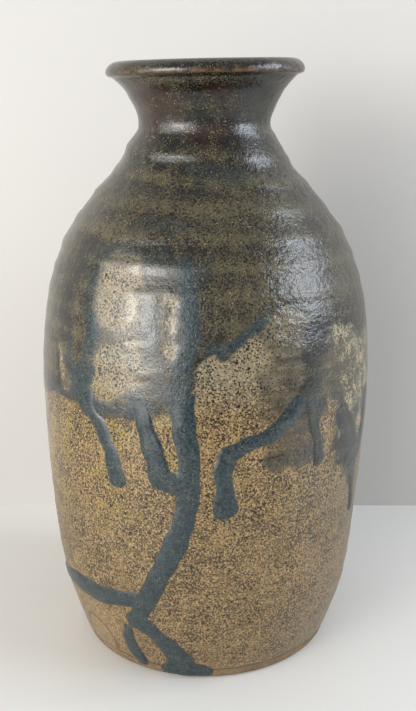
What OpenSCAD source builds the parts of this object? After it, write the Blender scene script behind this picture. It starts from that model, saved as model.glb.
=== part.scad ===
// Sake bottle: a stoneware bottle thrown in two sections that are luted together at the
// shoulder, then glazed inside and out. The outside has an oatmeal base coat, a dark coat
// poured over the neck and shoulder, and thick runs of the dark glaze down the body.
//
// Frame: the origin is at the centre of the foot, on the ground. +Z is up along the throwing
// axis, and -Y is the front. An azimuth is measured from the front, positive towards +X.
// Every diameter is of the fired clay; the coats are added outside it.

/* [Body outline] */
// Diameter across the foot, at the ground
foot_d = 110.4; // [92:0.2:134]
// Height of the heel, where the foot's turning ends
heel_rise = 30; // [24:0.5:40]
// Diameter at the heel
heel_d = 128; // [106:0.5:154]
// Rise from the heel to the flank
flank_rise = 32; // [24:0.5:44]
// Diameter at the flank
flank_d = 135.6; // [112:0.2:164]
// Rise from the flank to the belly's widest point
belly_rise = 50; // [36:0.5:70]
// Widest diameter, at the belly
belly_d = 140; // [116:0.5:170]
// Rise from the belly to the upper wall
upper_rise = 40; // [32:0.5:52]
// Diameter at the upper wall
upper_d = 133.8; // [112:0.2:160]
// Rise from the upper wall to the shoulder
shoulder_rise = 26; // [20:0.5:34]
// Diameter at the shoulder
shoulder_d = 117.6; // [98:0.2:142]
// Rise from the shoulder to the luting seam
seam_rise = 18.5; // [15:0.5:24]
// Diameter at the luting seam
seam_d = 92; // [76:0.5:110]

/* [Neck outline] */
// Rise from the seam to the root of the neck
root_rise = 11.5; // [9:0.5:15]
// Diameter at the root of the neck
root_d = 71.6; // [60:0.2:86]
// Rise from the root to the lower neck
neck_rise = 8; // [6:0.5:11]
// Diameter at the lower neck
neck_d = 63; // [53:0.5:76]
// Rise from the lower neck to the throat
throat_rise = 9; // [7:0.5:12]
// Diameter at the throat, the narrowest place
throat_d = 53; // [44:0.5:64]
// Rise from the throat to the flare
flare_rise = 13; // [10:0.5:16]
// Diameter at the flare
flare_d = 63.2; // [52:0.2:76]
// Rise from the flare to the underside of the lip
lip_root_rise = 6.2; // [5:0.1:8]
// Diameter where the lip leaves the flare
lip_root_d = 74; // [61:0.5:78]

/* [Lip] */
// Diameter over the lip's arris
lip_d = 79; // [76:0.5:96]
// Rise from the lip's root to the arris
arris_rise = 1.4; // [0.8:0.1:2.4]
// Height of the rounded lip above the arris
lip_h = 3.6; // [3:0.1:5]
// Diameter of the lip's crown, its highest line
crown_d = 70; // [62:0.5:74]

/* [Walls and foot] */
// Thickness of the thrown wall
wall = 5; // [3.5:0.1:6.2]
// Thickness of the floor above the foot's recess
floor_t = 7; // [5:0.5:10]
// Width of the foot ring that the bottle rests on
foot_ring_w = 10; // [7:0.5:14]
// Depth of the recess turned into the foot
foot_recess = 2.5; // [1:0.1:4]
// Softened edge of the foot ring
foot_edge = 1; // [0.5:0.1:1.5]
// Width of the inside floor's fillet, across
fillet_w = 18; // [12:0.5:24]

/* [Luting seam] */
// Height of the seam's tongue, along the wall
tongue_h = 2.6; // [1.5:0.1:3.5]
// Thickness of the slip that joins the two sections
slip_t = 1.2; // [0.6:0.1:2]

/* [Glaze] */
// Thickness of the oatmeal base coat
base_t = 0.45; // [0.3:0.05:0.7]
// Thickness of the dark coat over it
dark_t = 0.35; // [0.25:0.05:0.5]
// Thickness of the coat inside the bottle
liner_t = 0.4; // [0.25:0.05:0.6]
// Height of the glaze line above the ground
glaze_line = 5; // [3:0.5:10]
// Rise from the belly to the dark coat's lowest edge
curtain_rise = 14; // [8:0.5:24]
// Height of a run above the base coat, at its middle
run_t = 0.9; // [0.5:0.05:1.2]
// Clearance between a run and the coat that it lies on
run_seat = 0.03; // [0.02:0.01:0.1]

/* [Hidden] */
$fn = 96;

CLAY = "#9c8263";
SLIP = "#b39a78";
OATMEAL = "#a8916c";
DARK = "#3f3d35";
BLUE = "#2b3d4a";
LINER = "#6b6353";

// Heights above the ground, from the rises
heel_z = heel_rise;
flank_z = heel_z + flank_rise;
belly_z = flank_z + belly_rise;
upper_z = belly_z + upper_rise;
shoulder_z = upper_z + shoulder_rise;
seam_z = shoulder_z + seam_rise;
root_z = seam_z + root_rise;
neck_z = root_z + neck_rise;
throat_z = neck_z + throat_rise;
flare_z = throat_z + flare_rise;
lip_root_z = flare_z + lip_root_rise;
arris_z = lip_root_z + arris_rise;
crown_z = arris_z + lip_h;
floor_z = foot_recess + floor_t;
curtain_z = belly_z + curtain_rise;

// The clay's outline, from the foot to the lip's root: [height, radius] at each station
STATIONS = [[0, foot_d / 2], [heel_z, heel_d / 2], [flank_z, flank_d / 2],
            [belly_z, belly_d / 2], [upper_z, upper_d / 2], [shoulder_z, shoulder_d / 2],
            [seam_z, seam_d / 2], [root_z, root_d / 2], [neck_z, neck_d / 2],
            [throat_z, throat_d / 2], [flare_z, flare_d / 2], [lip_root_z, lip_root_d / 2]];
LAST = len(STATIONS) - 1;

// Places cut in each stretch between two stations, and steps round each half of the lip
STEPS = 6;
LIP_STEPS = 8;

// Slope of the outline at station i: the chord between its two neighbours
function slope(i) =
    let (a = STATIONS[max(i - 1, 0)], b = STATIONS[min(i + 1, LAST)])
    (b[1] - a[1]) / (b[0] - a[0]);

// Radius on the cubic between stations i and i + 1, at the fraction t of the way up
function cubic(i, t) =
    let (a = STATIONS[i], b = STATIONS[i + 1], h = b[0] - a[0])
    (2 * t ^ 3 - 3 * t ^ 2 + 1) * a[1] + (t ^ 3 - 2 * t ^ 2 + t) * h * slope(i)
    + (3 * t ^ 2 - 2 * t ^ 3) * b[1] + (t ^ 3 - t ^ 2) * h * slope(i + 1);

// The stretch that holds height z, and the clay's radius there
function stretch(z, i = 0) = i >= LAST - 1 || z < STATIONS[i + 1][0] ? i : stretch(z, i + 1);
function clay_r(z) =
    let (i = stretch(z), a = STATIONS[i], b = STATIONS[i + 1])
    cubic(i, (z - a[0]) / (b[0] - a[0]));

// Points of the outline at evenly spaced heights from z0 to z1
function outline(z0, z1, steps) =
    [for (k = [0 : steps]) let (z = z0 + (z1 - z0) * k / steps) [clay_r(z), z]];

function butfirst(list) = [for (i = [1 : len(list) - 1]) list[i]];
function reversed(list) = [for (i = [len(list) - 1 : -1 : 0]) list[i]];

// The outside of each section, cut at the glaze line, the dark coat's lowest edge, the
// seam's two edges and every station between them
slip_top_z = seam_z + slip_t;
function stretches(i0, i1) =
    [for (i = [i0 : i1]) each butfirst(outline(STATIONS[i][0], STATIONS[i + 1][0], STEPS))];
LOW_OUT = concat(outline(glaze_line, heel_z, STEPS), stretches(1, 2),
                 butfirst(outline(belly_z, curtain_z, STEPS / 2)));
HIGH_OUT = concat(butfirst(outline(curtain_z, upper_z, STEPS)), stretches(4, 5));
BODY_OUT = concat(LOW_OUT, HIGH_OUT);
COLLAR_OUT = concat(outline(slip_top_z, root_z, STEPS), stretches(7, LAST - 1));

// The lip: an ellipse's quarter from the arris up to the crown
LIP_OUT = [for (k = [0 : LIP_STEPS]) let (a = 90 * k / LIP_STEPS)
    [crown_d / 2 + (lip_d - crown_d) / 2 * cos(a), arris_z + lip_h * sin(a)]];

// Unit normal at point i of a list, pointing to the right of the way that the list runs
function unit(v) = v / norm(v);
function normal(list, i) =
    let (t = unit(list[min(i + 1, len(list) - 1)] - list[max(i - 1, 0)]))
    [t[1], -t[0]];
function moved(list, by) = [for (i = [0 : len(list) - 1]) list[i] + by * normal(list, i)];

// A curve that leaves a towards the corner c and reaches b from it
function bend(a, c, b, steps) =
    [for (k = [0 : steps]) let (t = k / steps) (1 - t) ^ 2 * a + 2 * t * (1 - t) * c + t ^ 2 * b];

// Inside of the wall, one wall's thickness in from the outside, from the heel to the flare
ABOVE_HEEL = [for (p = BODY_OUT) if (p[1] >= heel_z) p];
INSIDE_WALL = moved(concat(ABOVE_HEEL, [for (p = COLLAR_OUT) if (p[1] <= flare_z) p]), -wall);
SEAM_IN = len(ABOVE_HEEL) - 1;
TOP_IN = len(INSIDE_WALL) - 1;
BODY_IN = [for (i = [0 : SEAM_IN]) INSIDE_WALL[i]];
COLLAR_IN = [for (i = [SEAM_IN + 1 : TOP_IN]) INSIDE_WALL[i]];

// Where the line from b through a crosses the height z
function reach(a, b, z) = a + (a - b) * (z - a[1]) / (a[1] - b[1]);

// The fillet between the floor and the inside wall
FILLET = bend([INSIDE_WALL[0][0] - fillet_w, floor_z],
              reach(INSIDE_WALL[0], INSIDE_WALL[1], floor_z), INSIDE_WALL[0], STEPS);

// The inside of the mouth, from the flare's inside round to the crown
CROWN = [crown_d / 2, crown_z];
LIP_IN = bend(INSIDE_WALL[TOP_IN], reach(INSIDE_WALL[TOP_IN], INSIDE_WALL[TOP_IN - 1], crown_z),
              CROWN, STEPS);

// The joint's chevron, at its lower and upper edge: outside corner, apex, inside corner
function chevron(out, inside, up) = [out, (out + inside) / 2 + tongue_h * up, inside];
SEAM_OUT = BODY_OUT[len(BODY_OUT) - 1];
SEAM_UP = unit(COLLAR_OUT[1] - SEAM_OUT);
SEAM_LOW = chevron(SEAM_OUT, INSIDE_WALL[SEAM_IN], SEAM_UP);
SEAM_HIGH = chevron(COLLAR_OUT[0], INSIDE_WALL[SEAM_IN + 1], SEAM_UP);

// The whole glazed outside, from the glaze line over the lip to the inside of the mouth
OUTSIDE = concat(BODY_OUT, COLLAR_OUT, LIP_OUT, butfirst(reversed(LIP_IN)));
// The whole inside, from the mouth's inside edge down to the middle of the floor
INSIDE = concat(reversed(concat(butfirst(FILLET), butfirst(BODY_IN), COLLAR_IN)),
                [FILLET[0], [0, floor_z]]);
BASE_OUT = moved(OUTSIDE, base_t);
DARK_OUT = moved(OUTSIDE, base_t + dark_t);
LINER_IN = [for (p = moved(INSIDE, liner_t)) [max(p[0], 0), p[1]]];

// The base coat's radius at each height, up to the lip, for what lies on it
COAT_RADII = [for (p = BASE_OUT) if (p[1] < arris_z) [p[1], p[0]]];

// The runs of glaze, each from its top to its end: [azimuth, height, width]. Those out of
// the dark coat's lowest edge come first, in order round the bottle. The heights are set out
// for an edge at TOP and a glaze line at FOOT, and run_z carries them to this body's own.
run_top_z = curtain_z - run_seat;
TOP = 126;
FOOT = 5;
function run_z(z) =
    z == TOP ? run_top_z : glaze_line + (z - FOOT) * (curtain_z - glaze_line) / (TOP - FOOT);
CURTAIN_RUNS = [
    // front left, two drips
    [[-42, TOP, 7], [-41, 121, 7], [-36, 113, 6], [-31, 104, 6], [-29, 94, 7]],
    [[-21, TOP, 7], [-18, 114, 7], [-15, 104, 6], [-14, 91, 7]],
    // the long run down the front, which swings left near the foot and back again
    [[-8, TOP, 9], [-6, 116, 8], [-5, 93, 7], [-7, 77, 7], [-15, 55, 8], [-21, 41, 8],
     [-25, 31, 7], [-21, 25, 6], [-15, 19, 7], [-9, 9.5, 9]],
    // front right
    [[27, TOP, 8], [23, 116, 8], [16, 111, 8], [9, 109, 9], [6, 101, 8], [6, 86, 9]],
    [[37, TOP, 8], [36, 118, 8], [38, 108, 7], [34, 99, 8]],
    [[54, TOP, 12], [53, 108, 12], [52, 98, 9], [54, 84, 5]],
    [[68, TOP, 8], [66, 104, 8], [65, 74, 5]],
    // round the back
    [[96, TOP, 8], [97, 112, 7], [99, 82, 7]],
    [[122, TOP, 9], [121, 108, 7], [123, 84, 6], [128, 58, 8]],
    [[145, TOP, 8], [146, 112, 6], [146, 99, 7]],
    [[176, TOP, 10], [175, 108, 8], [172, 76, 7], [175, 48, 7], [176, 24, 8]],
    [[195, TOP, 7], [196, 112, 7], [194, 96, 8]],
    [[222, TOP, 9], [222, 106, 7], [220, 72, 8]],
    [[246, TOP, 8], [247, 110, 6], [246, 90, 7]],
    [[271, TOP, 9], [271, 112, 8], [273, 86, 7], [271, 62, 7]],
];
LOW_RUNS = [
    // the long run's branch round the left side, and a drip beside its foot; both start
    // clear of the long run's edge
    [[-29, 40.5, 5], [-33, 39.5, 6], [-40, 37, 6], [-53, 36, 7], [-72, 31, 6], [-88, 27, 4]],
    [[-32, 24, 4], [-32, 17, 4], [-31, 9, 4]],
];

// How high the bare arch after each of those runs reaches above the curtain's edge
ARCH_TOPS = [48, 12, 24, 4, 9, 6, 30, 44, 20, 36, 14, 46, 24, 38];
// Steps round the top of an arch
ARCH_STEPS = 16;

// Rings cut between two points of a run, and the steps that round off its end
RUN_STEPS = 4;
END_STEPS = 3;

// A point between p[i] and p[i + 1], on a smooth curve through the run's points
function along(p, i, t) =
    let (n = len(p) - 1, a = p[max(i - 1, 0)], b = p[i], c = p[i + 1], d = p[min(i + 2, n)])
    0.5 * (2 * b + (c - a) * t + (2 * a - 5 * b + 4 * c - d) * t ^ 2
           + (3 * b - 3 * c + d - a) * t ^ 3);

// The run's centre line; its last width falls to almost nothing round the end
function centre_line(p) =
    let (n = len(p) - 1, e = p[n], last = unit([0, e[1] - p[n - 1][1]]))
    concat([for (i = [0 : n - 1]) for (k = [0 : RUN_STEPS - 1]) along(p, i, k / RUN_STEPS)],
           [for (k = [0 : END_STEPS]) let (a = 84 * k / END_STEPS)
               [e[0], e[1] + last[1] * e[2] / 2 * sin(a), e[2] * cos(a)]]);

// A point on the bottle at the fraction u of the half width to one side of c, and h above
// the base coat; dir is the way that the run goes there, along and down the wall
function on_wall(c, dir, u, h) =
    let (z = c[1] - dir[0] * u * c[2] / 2, r = lookup(z, COAT_RADII),
         a = c[0] + dir[1] * u * c[2] / 2 / r * 180 / PI)
    [(r + h) * sin(a), -(r + h) * cos(a), z];

// One ring of the run: three points on the coat and three on its rounded back
function run_ring(line, i) =
    let (n = len(line) - 1, c = line[i], a = line[max(i - 1, 0)], b = line[min(i + 1, n)],
         r = lookup(c[1], COAT_RADII), level = c[1] == run_top_z,
         dir = level ? [0, -1] : unit([(b[0] - a[0]) * r * PI / 180, b[1] - a[1]]),
         h = run_t * min(1, c[2] / 5))
    [on_wall(c, dir, -1, run_seat), on_wall(c, dir, 0, run_seat), on_wall(c, dir, 1, run_seat),
     on_wall(c, dir, 0.6, run_seat + 0.8 * h), on_wall(c, dir, 0, run_seat + h),
     on_wall(c, dir, -0.6, run_seat + 0.8 * h)];

module run(points) {
    line = centre_line([for (p = points) [p[0], run_z(p[1]), p[2]]]);
    rings = [for (i = [0 : len(line) - 1]) run_ring(line, i)];
    last = len(rings) - 1;
    sides = [for (i = [0 : last - 1]) for (j = [0 : 5])
        let (a = i * 6 + j, b = i * 6 + (j + 1) % 6)
        each [[a, b, a + 6], [b, b + 6, a + 6]]];
    cap = [for (j = [1 : 4]) [0, j + 1, j]];
    end = [for (j = [1 : 4]) [last * 6, last * 6 + j, last * 6 + j + 1]];
    polyhedron([for (ring = rings) each ring], concat(sides, cap, end));
}

// The bare arch between two neighbouring runs, from the axis outwards
module arch(left, right, height) {
    r = clay_r(curtain_z);
    from = left[0] + left[2] / 2 / r * 180 / PI;
    to = right[0] - right[2] / 2 / r * 180 / PI;
    width = (to - from) * r * PI / 180;
    spring_z = curtain_z + height - width / 2;
    rotate([0, 0, (from + to) / 2]) rotate([90, 0, 0]) linear_extrude(belly_d)
        polygon(concat([[-width / 2, 0], [width / 2, 0]],
                       [for (k = [0 : ARCH_STEPS]) let (a = 180 * k / ARCH_STEPS)
                           [width / 2 * cos(a), spring_z + width / 2 * sin(a)]]));
}

module lower_body() {
    color(CLAY) rotate_extrude() polygon(concat(
        [[0, foot_recess], [foot_d / 2 - foot_ring_w - foot_edge, foot_recess],
         [foot_d / 2 - foot_ring_w, 0], [foot_d / 2 - foot_edge, 0], [clay_r(foot_edge), foot_edge]],
        BODY_OUT, [SEAM_LOW[1]], reversed(BODY_IN), reversed([for (i = [0 : STEPS - 1]) FILLET[i]]),
        [[0, floor_z]]));
}

module seam_slip() {
    color(SLIP) rotate_extrude() polygon(concat(SEAM_LOW, reversed(SEAM_HIGH)));
}

module collar() {
    color(CLAY) rotate_extrude() polygon(concat(
        COLLAR_OUT, LIP_OUT, butfirst(reversed(LIP_IN)), butfirst(reversed(COLLAR_IN)),
        [SEAM_HIGH[1]]));
}

module liner_glaze() {
    color(LINER) rotate_extrude() polygon(concat(INSIDE, reversed(LINER_IN)));
}

module oatmeal_glaze() {
    color(OATMEAL) rotate_extrude() polygon(concat(reversed(OUTSIDE), BASE_OUT));
}

module dark_glaze() {
    first = len(LOW_OUT) - 1;
    last = len(OUTSIDE) - 1;
    color(DARK) difference() {
        rotate_extrude() polygon(concat([for (i = [last : -1 : first]) BASE_OUT[i]],
                                        [for (i = [first : last]) DARK_OUT[i]]));
        for (i = [0 : len(ARCH_TOPS) - 1])
            arch(CURTAIN_RUNS[i][0], CURTAIN_RUNS[i + 1][0], ARCH_TOPS[i]);
    }
}

module glaze_runs() {
    color(BLUE) for (p = concat(CURTAIN_RUNS, LOW_RUNS)) run(p);
}

lower_body();
seam_slip();
collar();
liner_glaze();
oatmeal_glaze();
dark_glaze();
glaze_runs();
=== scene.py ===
"""Looks of the sake bottle: a stoneware bottle thrown in two sections, with an oatmeal base coat,
a dark coat poured over the neck and shoulder, and thick blue-black runs down the body.

Frame: metres in Blender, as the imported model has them. Sizes on the bottle are millimetres, and
azimuths are degrees from the front (-Y), positive towards +X. MM turns them into metres where a
mesh is made. The stage, the lights and the camera are placed in metres.
"""
import math
from types import SimpleNamespace

import bpy
import numpy as np
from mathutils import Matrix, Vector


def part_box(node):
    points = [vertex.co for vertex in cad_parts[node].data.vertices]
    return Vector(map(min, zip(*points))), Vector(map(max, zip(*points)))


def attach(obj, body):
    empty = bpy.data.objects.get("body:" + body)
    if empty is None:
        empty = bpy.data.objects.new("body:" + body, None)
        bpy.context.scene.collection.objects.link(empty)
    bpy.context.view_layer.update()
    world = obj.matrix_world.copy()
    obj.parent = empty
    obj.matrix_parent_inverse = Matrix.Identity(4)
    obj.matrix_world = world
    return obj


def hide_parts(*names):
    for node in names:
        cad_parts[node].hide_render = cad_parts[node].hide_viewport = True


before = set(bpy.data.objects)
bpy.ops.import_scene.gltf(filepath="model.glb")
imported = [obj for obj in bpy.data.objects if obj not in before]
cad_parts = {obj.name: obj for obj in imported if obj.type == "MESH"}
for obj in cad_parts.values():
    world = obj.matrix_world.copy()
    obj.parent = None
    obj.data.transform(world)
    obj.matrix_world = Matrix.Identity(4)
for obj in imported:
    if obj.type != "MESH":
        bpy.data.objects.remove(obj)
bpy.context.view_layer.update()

MM = 0.001
BODY = "root"

# ---------------------------------------------------------------- numbers

COLUMNS = 288            # points around each coat
FINE_COLUMNS = 720       # points around the blue runs
PLAIN_COLUMNS = 144      # points around the pieces that the coats hide
ROW_STEP = 1.25          # distance between rows of a coat
LIP_STEP = 0.45          # distance between rows over the lip
RUN_STEP = 0.8           # distance between rows of the blue runs
PLAIN_STEP = 3.0         # distance between rows of a hidden face
LINER_STEP = 1.6         # distance between rows of the liner's seen face

THROWING_PITCH = 9.6     # the potter's spiral climbs this much each turn
THROWING_TURN = 50       # degrees by which the spiral is turned round the pot
LIP_TILT = 0.02          # the lip leans down to the left by this much per millimetre

# How far each kind of unevenness stands out from the wall.
LOW_RINGS = 0.05         # throwing rings on the body
HIGH_RINGS = 0.21        # what the rings gain from the shoulder up
HIDDEN_RINGS = 0.12      # throwing rings inside and over the lip
SEAM_GROOVE = 0.30       # the groove that is left under the luted seam
OUT_OF_ROUND = 0.45      # the slow sway of a thrown wall
FINGER_DENTS = 0.07      # the small dents of the potter's fingers

LINER_T = 0.4            # thickness of the liner glaze
RUN_T = 0.9              # full thickness of a run, which its dome's rise is taken from
SUNK = 0.05              # how far the dark coat's thin edge dips into the base coat
TRACE = 0.04             # a thinner film than this is left bare

GLAZE_IOR = 1.56
CLAY_BUMP = 0.15         # depth of the bare clay's grain
FINGERTIP = (-45.5, -38.2, 8.5)    # middle of a fingertip's mark near the foot: x, y, z

# The dark coat's lower edge all round: (azimuth, height).
DRAPE = [
    (-184, 124), (-174.5, 140), (-165, 124), (-151.5, 172), (-138, 124), (-126, 150),
    (-114, 124), (-101.5, 150), (-92, 120), (-80, 115), (-66, 117), (-52, 121), (-44, 120),
    (-38, 117), (-28, 119), (-20, 119), (-15, 122), (-11, 126), (-7, 134), (-2, 139), (3, 145),
    (8, 149), (14, 154), (21, 158), (30, 160), (36, 157), (42, 148), (50, 145), (60, 143),
    (66, 134), (70, 112), (75, 106), (79, 120), (84, 150), (90, 140), (96, 124), (109, 170),
    (122, 124), (133.5, 146), (145, 124), (160.5, 162), (176, 124),
]
# Bare windows in the dark coat: lists of (azimuth, height, width).
WINDOWS = [
    [(-31, 170, 21), (-30, 161, 22)],
    [(-34, 138, 18), (-24, 141, 20)],
    [(-37, 131, 13), (-30, 133, 14)],
    [(-12, 163, 7), (-12, 155, 7)],
    [(-12, 149, 7), (-12, 145, 7)],
    [(-52, 127, 9), (-55, 133, 4), (-57, 141, 2)],
]
# Thin veils of the dark coat below its edge: how much each covers, and its
# (azimuth, height, width) list.
VEILS = [
    (0.54, [(16, 157, 12), (28, 152, 20), (44, 142, 22)]),
    (0.46, [(22, 138, 14), (22, 124, 14)]),
    (0.58, [(30, 138, 18), (29, 122, 22), (28, 112, 20)]),
    (0.86, [(22, 103, 8), (30, 104, 13), (38, 106, 9)]),
    (0.90, [(38, 154, 13), (37, 136, 11), (36, 120, 12)]),
    (0.66, [(50, 138, 26), (58, 122, 24), (62, 112, 20)]),
    (0.97, [(60, 118, 34), (58, 104, 30), (59, 94, 18), (60, 86, 9)]),
    (0.85, [(68, 118, 22), (68, 100, 18)]),
    (0.45, [(-45, 140, 9), (-50, 130, 9)]),
    (0.60, [(-17, 168, 12), (-17, 150, 11), (-14, 130, 12)]),
]
# Streaks where the dark coat is thick enough to turn blue: how blue, and an
# (azimuth, height, width) list.
STREAKS = [
    (0.85, [(-6, 176, 7), (-5, 163, 9), (-5, 151, 10), (-7, 140, 10.5), (-8, 126, 10)]),
    (0.52, [(-46, 178, 9), (-24, 179, 8), (-2, 175, 12)]),
    (0.60, [(-42, 170, 7), (-43, 158, 7)]),
    (0.85, [(-40, 156, 6), (-39, 148, 8), (-41, 136, 11), (-43, 126, 9), (-41, 121, 9)]),
    (0.80, [(-52, 152, 4), (-50, 140, 6), (-46, 128, 8)]),
    (0.70, [(-75, 126, 8), (-66, 122, 6), (-52, 124, 5), (-42, 124, 8)]),
    (0.62, [(-42, 123, 9), (-30, 121, 8), (-18, 122, 8)]),
    (0.75, [(2, 147, 6), (6, 147, 9), (9, 148, 6), (14, 153, 5), (20, 158, 4)]),
    (0.55, [(-17, 160, 8), (-16, 140, 9), (-13, 128, 10)]),
    (0.72, [(36, 140, 7), (34, 130, 8), (36, 118, 9)]),
    (0.50, [(-8, 209, 7), (8, 207, 8), (22, 206, 7)]),
    (0.45, [(-30, 190, 6), (-10, 189, 7)]),
]
# Where the dark coat is deepest and almost black: (azimuth, height, width) lists.
DEEPS = [
    [(-50, 180, 9), (-54, 162, 12), (-54, 148, 11)],
    [(40, 152, 12), (52, 151, 15), (68, 151, 14)],
    [(40, 146, 9), (35, 138, 9), (34, 126, 8), (36, 112, 9)],
    [(52, 110, 16), (56, 98, 18), (60, 88, 10)],
]
# Where the thin coat froths into cream and pink flakes: (azimuth, height, width) lists.
FROTH = [
    [(50, 146, 10), (60, 134, 22), (57, 120, 22), (53, 108, 12)],
    [(72, 140, 12), (70, 122, 14), (62, 104, 8)],
]
# Thick runs of the dark glaze: (azimuth, height, width) down each one.
RUNS = [
    [(-42, 128, 8), (-39.5, 121, 7), (-35, 114, 6.5), (-31, 105, 7), (-29, 94, 8)],
    [(-21, 126, 8), (-18, 114, 8), (-15.5, 104, 9), (-14.5, 97, 9.5), (-8, 94.5, 9)],
    [(-8, 130, 12), (-6.5, 118, 9), (-5, 105, 9), (-5, 93, 9.5), (-6, 85, 9.5), (-7.5, 76, 9.5),
     (-10, 68, 9.5), (-15, 55, 9), (-18, 47, 9), (-22, 39, 9), (-24, 34, 7.5), (-27, 29, 9),
     (-24, 28, 8.5), (-21, 25.5, 8.5), (-16, 20, 9), (-12, 14, 10.5), (-9.5, 9.5, 12.5)],
    [(-16, 4.2, 7), (-9, 4.8, 9), (-2, 4.8, 8), (0.5, 4.2, 5)],
    [(-23, 39, 9), (-29, 39.5, 8), (-39, 37, 9), (-50, 36, 10), (-60, 34, 9.5), (-72, 31, 7),
     (-88, 27, 4)],
    [(-31, 23, 5), (-31.5, 17, 7), (-30.5, 10, 7.5), (-28, 6, 7)],
    [(34, 128, 9), (27, 121, 8), (23, 115.5, 7), (18, 112.5, 6.5), (12, 110, 7), (7, 107, 8),
     (5.5, 101, 7.5), (6, 93, 7.5), (6, 85.5, 10)],
    [(35, 138, 6), (34, 128, 6), (35.5, 118, 5.5), (38, 107, 6), (38.5, 100, 6.5)],
    [(50, 116, 10), (54, 107, 17), (58, 97, 18), (61, 88, 11), (63, 79, 6), (64, 68, 5)],
    [(72, 116, 12), (69, 104, 12), (66, 94, 10)],
    [(96, 128, 9), (97, 112, 7), (99, 82, 7)],
    [(122, 128, 9), (121, 108, 7), (123, 84, 6.5), (128, 58, 8)],
    [(145, 128, 8), (146, 112, 6.5), (146, 99, 7.5)],
    [(176, 128, 10), (175, 108, 8), (172, 76, 7), (175, 48, 7), (176, 24, 8.5)],
    [(195, 128, 7), (196, 112, 7), (194, 96, 8)],
    [(222, 128, 9), (222, 106, 7), (220, 72, 8.5)],
    [(246, 128, 8), (247, 110, 6.5), (246, 90, 7.5)],
    [(271, 128, 9), (271, 112, 8), (273, 86, 7), (271, 62, 7.5)],
]


# ---------------------------------------------------------------- outline

def smooth(value, low, high):
    """0 below low, 1 above high, and the ease curve 3t^2 - 2t^3 between them."""
    t = np.clip((value - low) / (high - low), 0, 1)
    return t * t * (3 - 2 * t)


def wall(node, side):
    """Heights and radii of a turned node's outer wall (side 1) or inner wall (side -1).

    They are the corners of the faces whose normals point away from the axis, or towards it,
    with one radius kept for each height.
    """
    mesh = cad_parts[node].data
    mesh.calc_loop_triangles()
    corners = np.zeros(len(mesh.vertices) * 3, np.float32)
    mesh.vertices.foreach_get("co", corners)
    index = np.zeros(len(mesh.loop_triangles) * 3, np.int32)
    mesh.loop_triangles.foreach_get("vertices", index)
    faces = corners.reshape(-1, 3)[index.reshape(-1, 3)] / MM
    normal = np.cross(faces[:, 1] - faces[:, 0], faces[:, 2] - faces[:, 0])
    middle = faces.mean(1)
    lean = (normal[:, 0] * middle[:, 0] + normal[:, 1] * middle[:, 1]) * side
    upright = np.linalg.norm(normal, axis=1) * np.hypot(middle[:, 0], middle[:, 1])
    facing = lean > 0.03 * upright
    points = faces[facing].reshape(-1, 3)
    heights, row = np.unique(np.round(points[:, 2], 2), return_inverse=True)
    row = row.ravel()
    radii = np.bincount(row, np.hypot(points[:, 0], points[:, 1])) / np.bincount(row)
    return heights, radii


def ends(node):
    """Lowest and highest corner of a node, in millimetres."""
    low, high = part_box(node)
    return np.array(low) / MM, np.array(high) / MM


def widest(node, lowest):
    """Height at which a node's outer wall is widest, above a lowest height."""
    heights, radii = wall(node, 1)
    return heights[np.argmax(radii * (heights > lowest))]


SEAM_LOW, SEAM_HIGH = (corner[2] for corner in ends("seam_slip"))
SEAM = (SEAM_LOW + SEAM_HIGH) / 2
FLOOR, LINER_TOP = (corner[2] for corner in ends("liner_glaze"))
GLAZE_LINE = ends("oatmeal_glaze")[0][2]
CLAY_TOP = ends("collar")[1][2]
ARRIS = widest("collar", CLAY_TOP - 8)
BASE_T = ends("oatmeal_glaze")[1][0] - ends("lower_body")[1][0]
DARK_T = ends("dark_glaze")[1][2] - ends("oatmeal_glaze")[1][2]


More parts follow.
